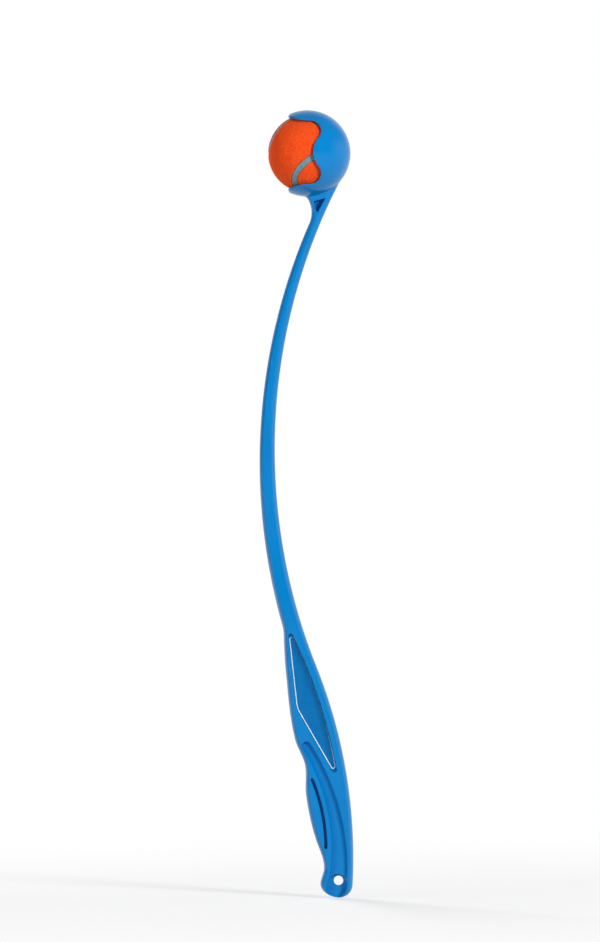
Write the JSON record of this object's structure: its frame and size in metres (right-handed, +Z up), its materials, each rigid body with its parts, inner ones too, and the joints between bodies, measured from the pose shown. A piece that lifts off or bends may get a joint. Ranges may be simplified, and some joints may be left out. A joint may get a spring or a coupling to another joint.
{
  "type": "dog ball launcher stick",
  "caption": "Hand-held ball launcher for dogs: a bowed plastic stick with a shaped grip, a hang hole and a snap cup that holds a felt ball.",
  "frame": {"origin": "centre of the hang hole, in the middle of its wall", "axes": "+Z up the stick from the grip to the cup, -Y is the front that carries the label, +Y along the hang hole, the cup opens towards -X"},
  "size_m": [0.0756, 0.069, 0.6344],
  "materials": {
    "moulding": "satin moulded plastic",
    "label": "printed film with a pale border line",
    "core_rubber": "moulded rubber",
    "felt": "napped felt",
    "seam_rubber": "matt rubber"
  },
  "bodies": {
    "launcher": {"cup": "moulding", "arm": "moulding", "handle": "moulding", "handle_label": "label"},
    "ball": {"ball_core_left": "core_rubber", "ball_core_right": "core_rubber", "ball_felt_outer": "felt", "ball_felt_inner": "felt", "ball_seam": "seam_rubber"}
  },
  "joints": [
    {"name": "ball_release", "type": "slide", "parent": "launcher", "child": "ball", "axis": [-1, 0, 0], "range_m": [0, 0.08], "deforming": ["cup"]}
  ]
}
